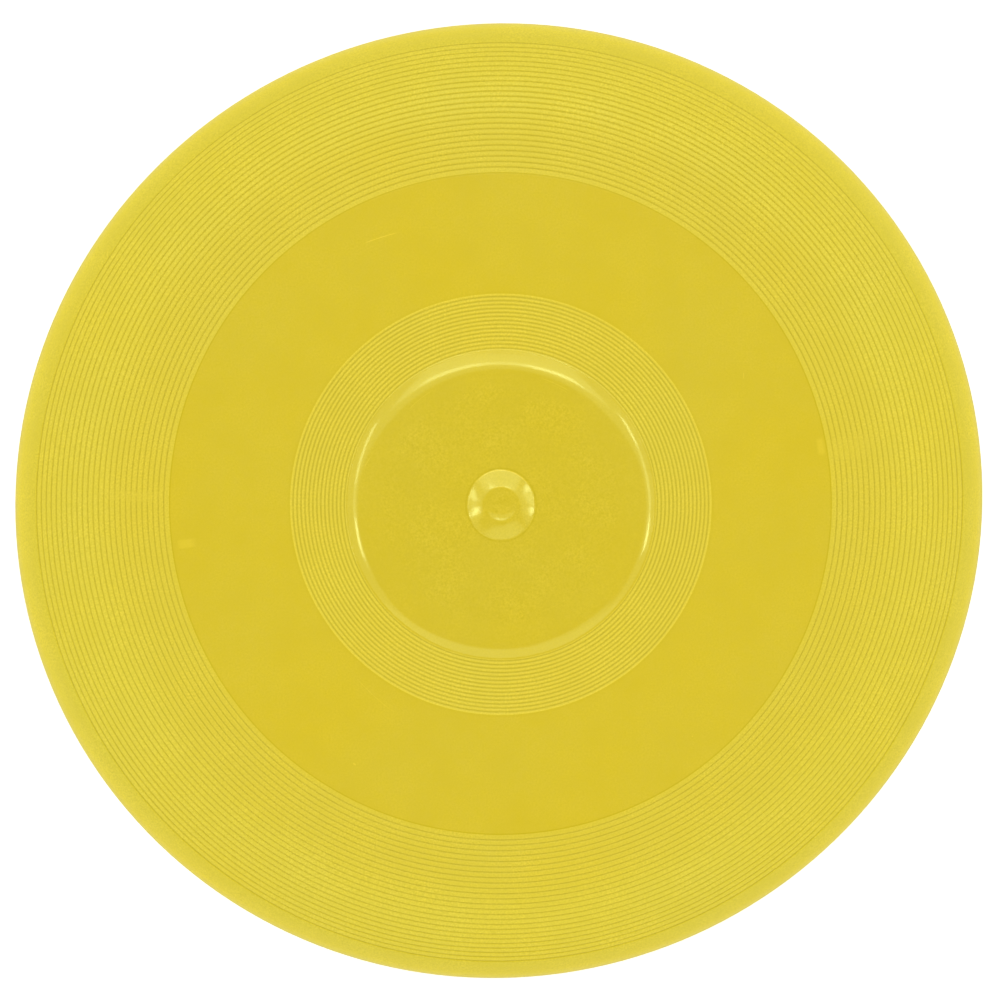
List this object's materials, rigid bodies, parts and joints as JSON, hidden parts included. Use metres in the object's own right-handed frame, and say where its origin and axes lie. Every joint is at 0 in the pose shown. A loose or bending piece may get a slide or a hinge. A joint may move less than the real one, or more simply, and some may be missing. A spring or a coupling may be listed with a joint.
{
  "type": "flying disc",
  "caption": "One-piece moulded plastic flying disc: a thin flight plate with grooved bands, a raised centre with a gate boss, a curved shoulder and a deep rim, for throwing and catching.",
  "frame": {"origin": "centre of the rim's foot, on the plane that the disc stands on", "axes": "+Z along the axis of the disc, out of the top of its flight plate; X and Y are alike, because the disc is round"},
  "size_m": [0.235, 0.235, 0.0265],
  "materials": {
    "yellow_polyethylene": "satin"
  },
  "bodies": {
    "root": {"flying_disc": "yellow_polyethylene"}
  },
  "joints": []
}
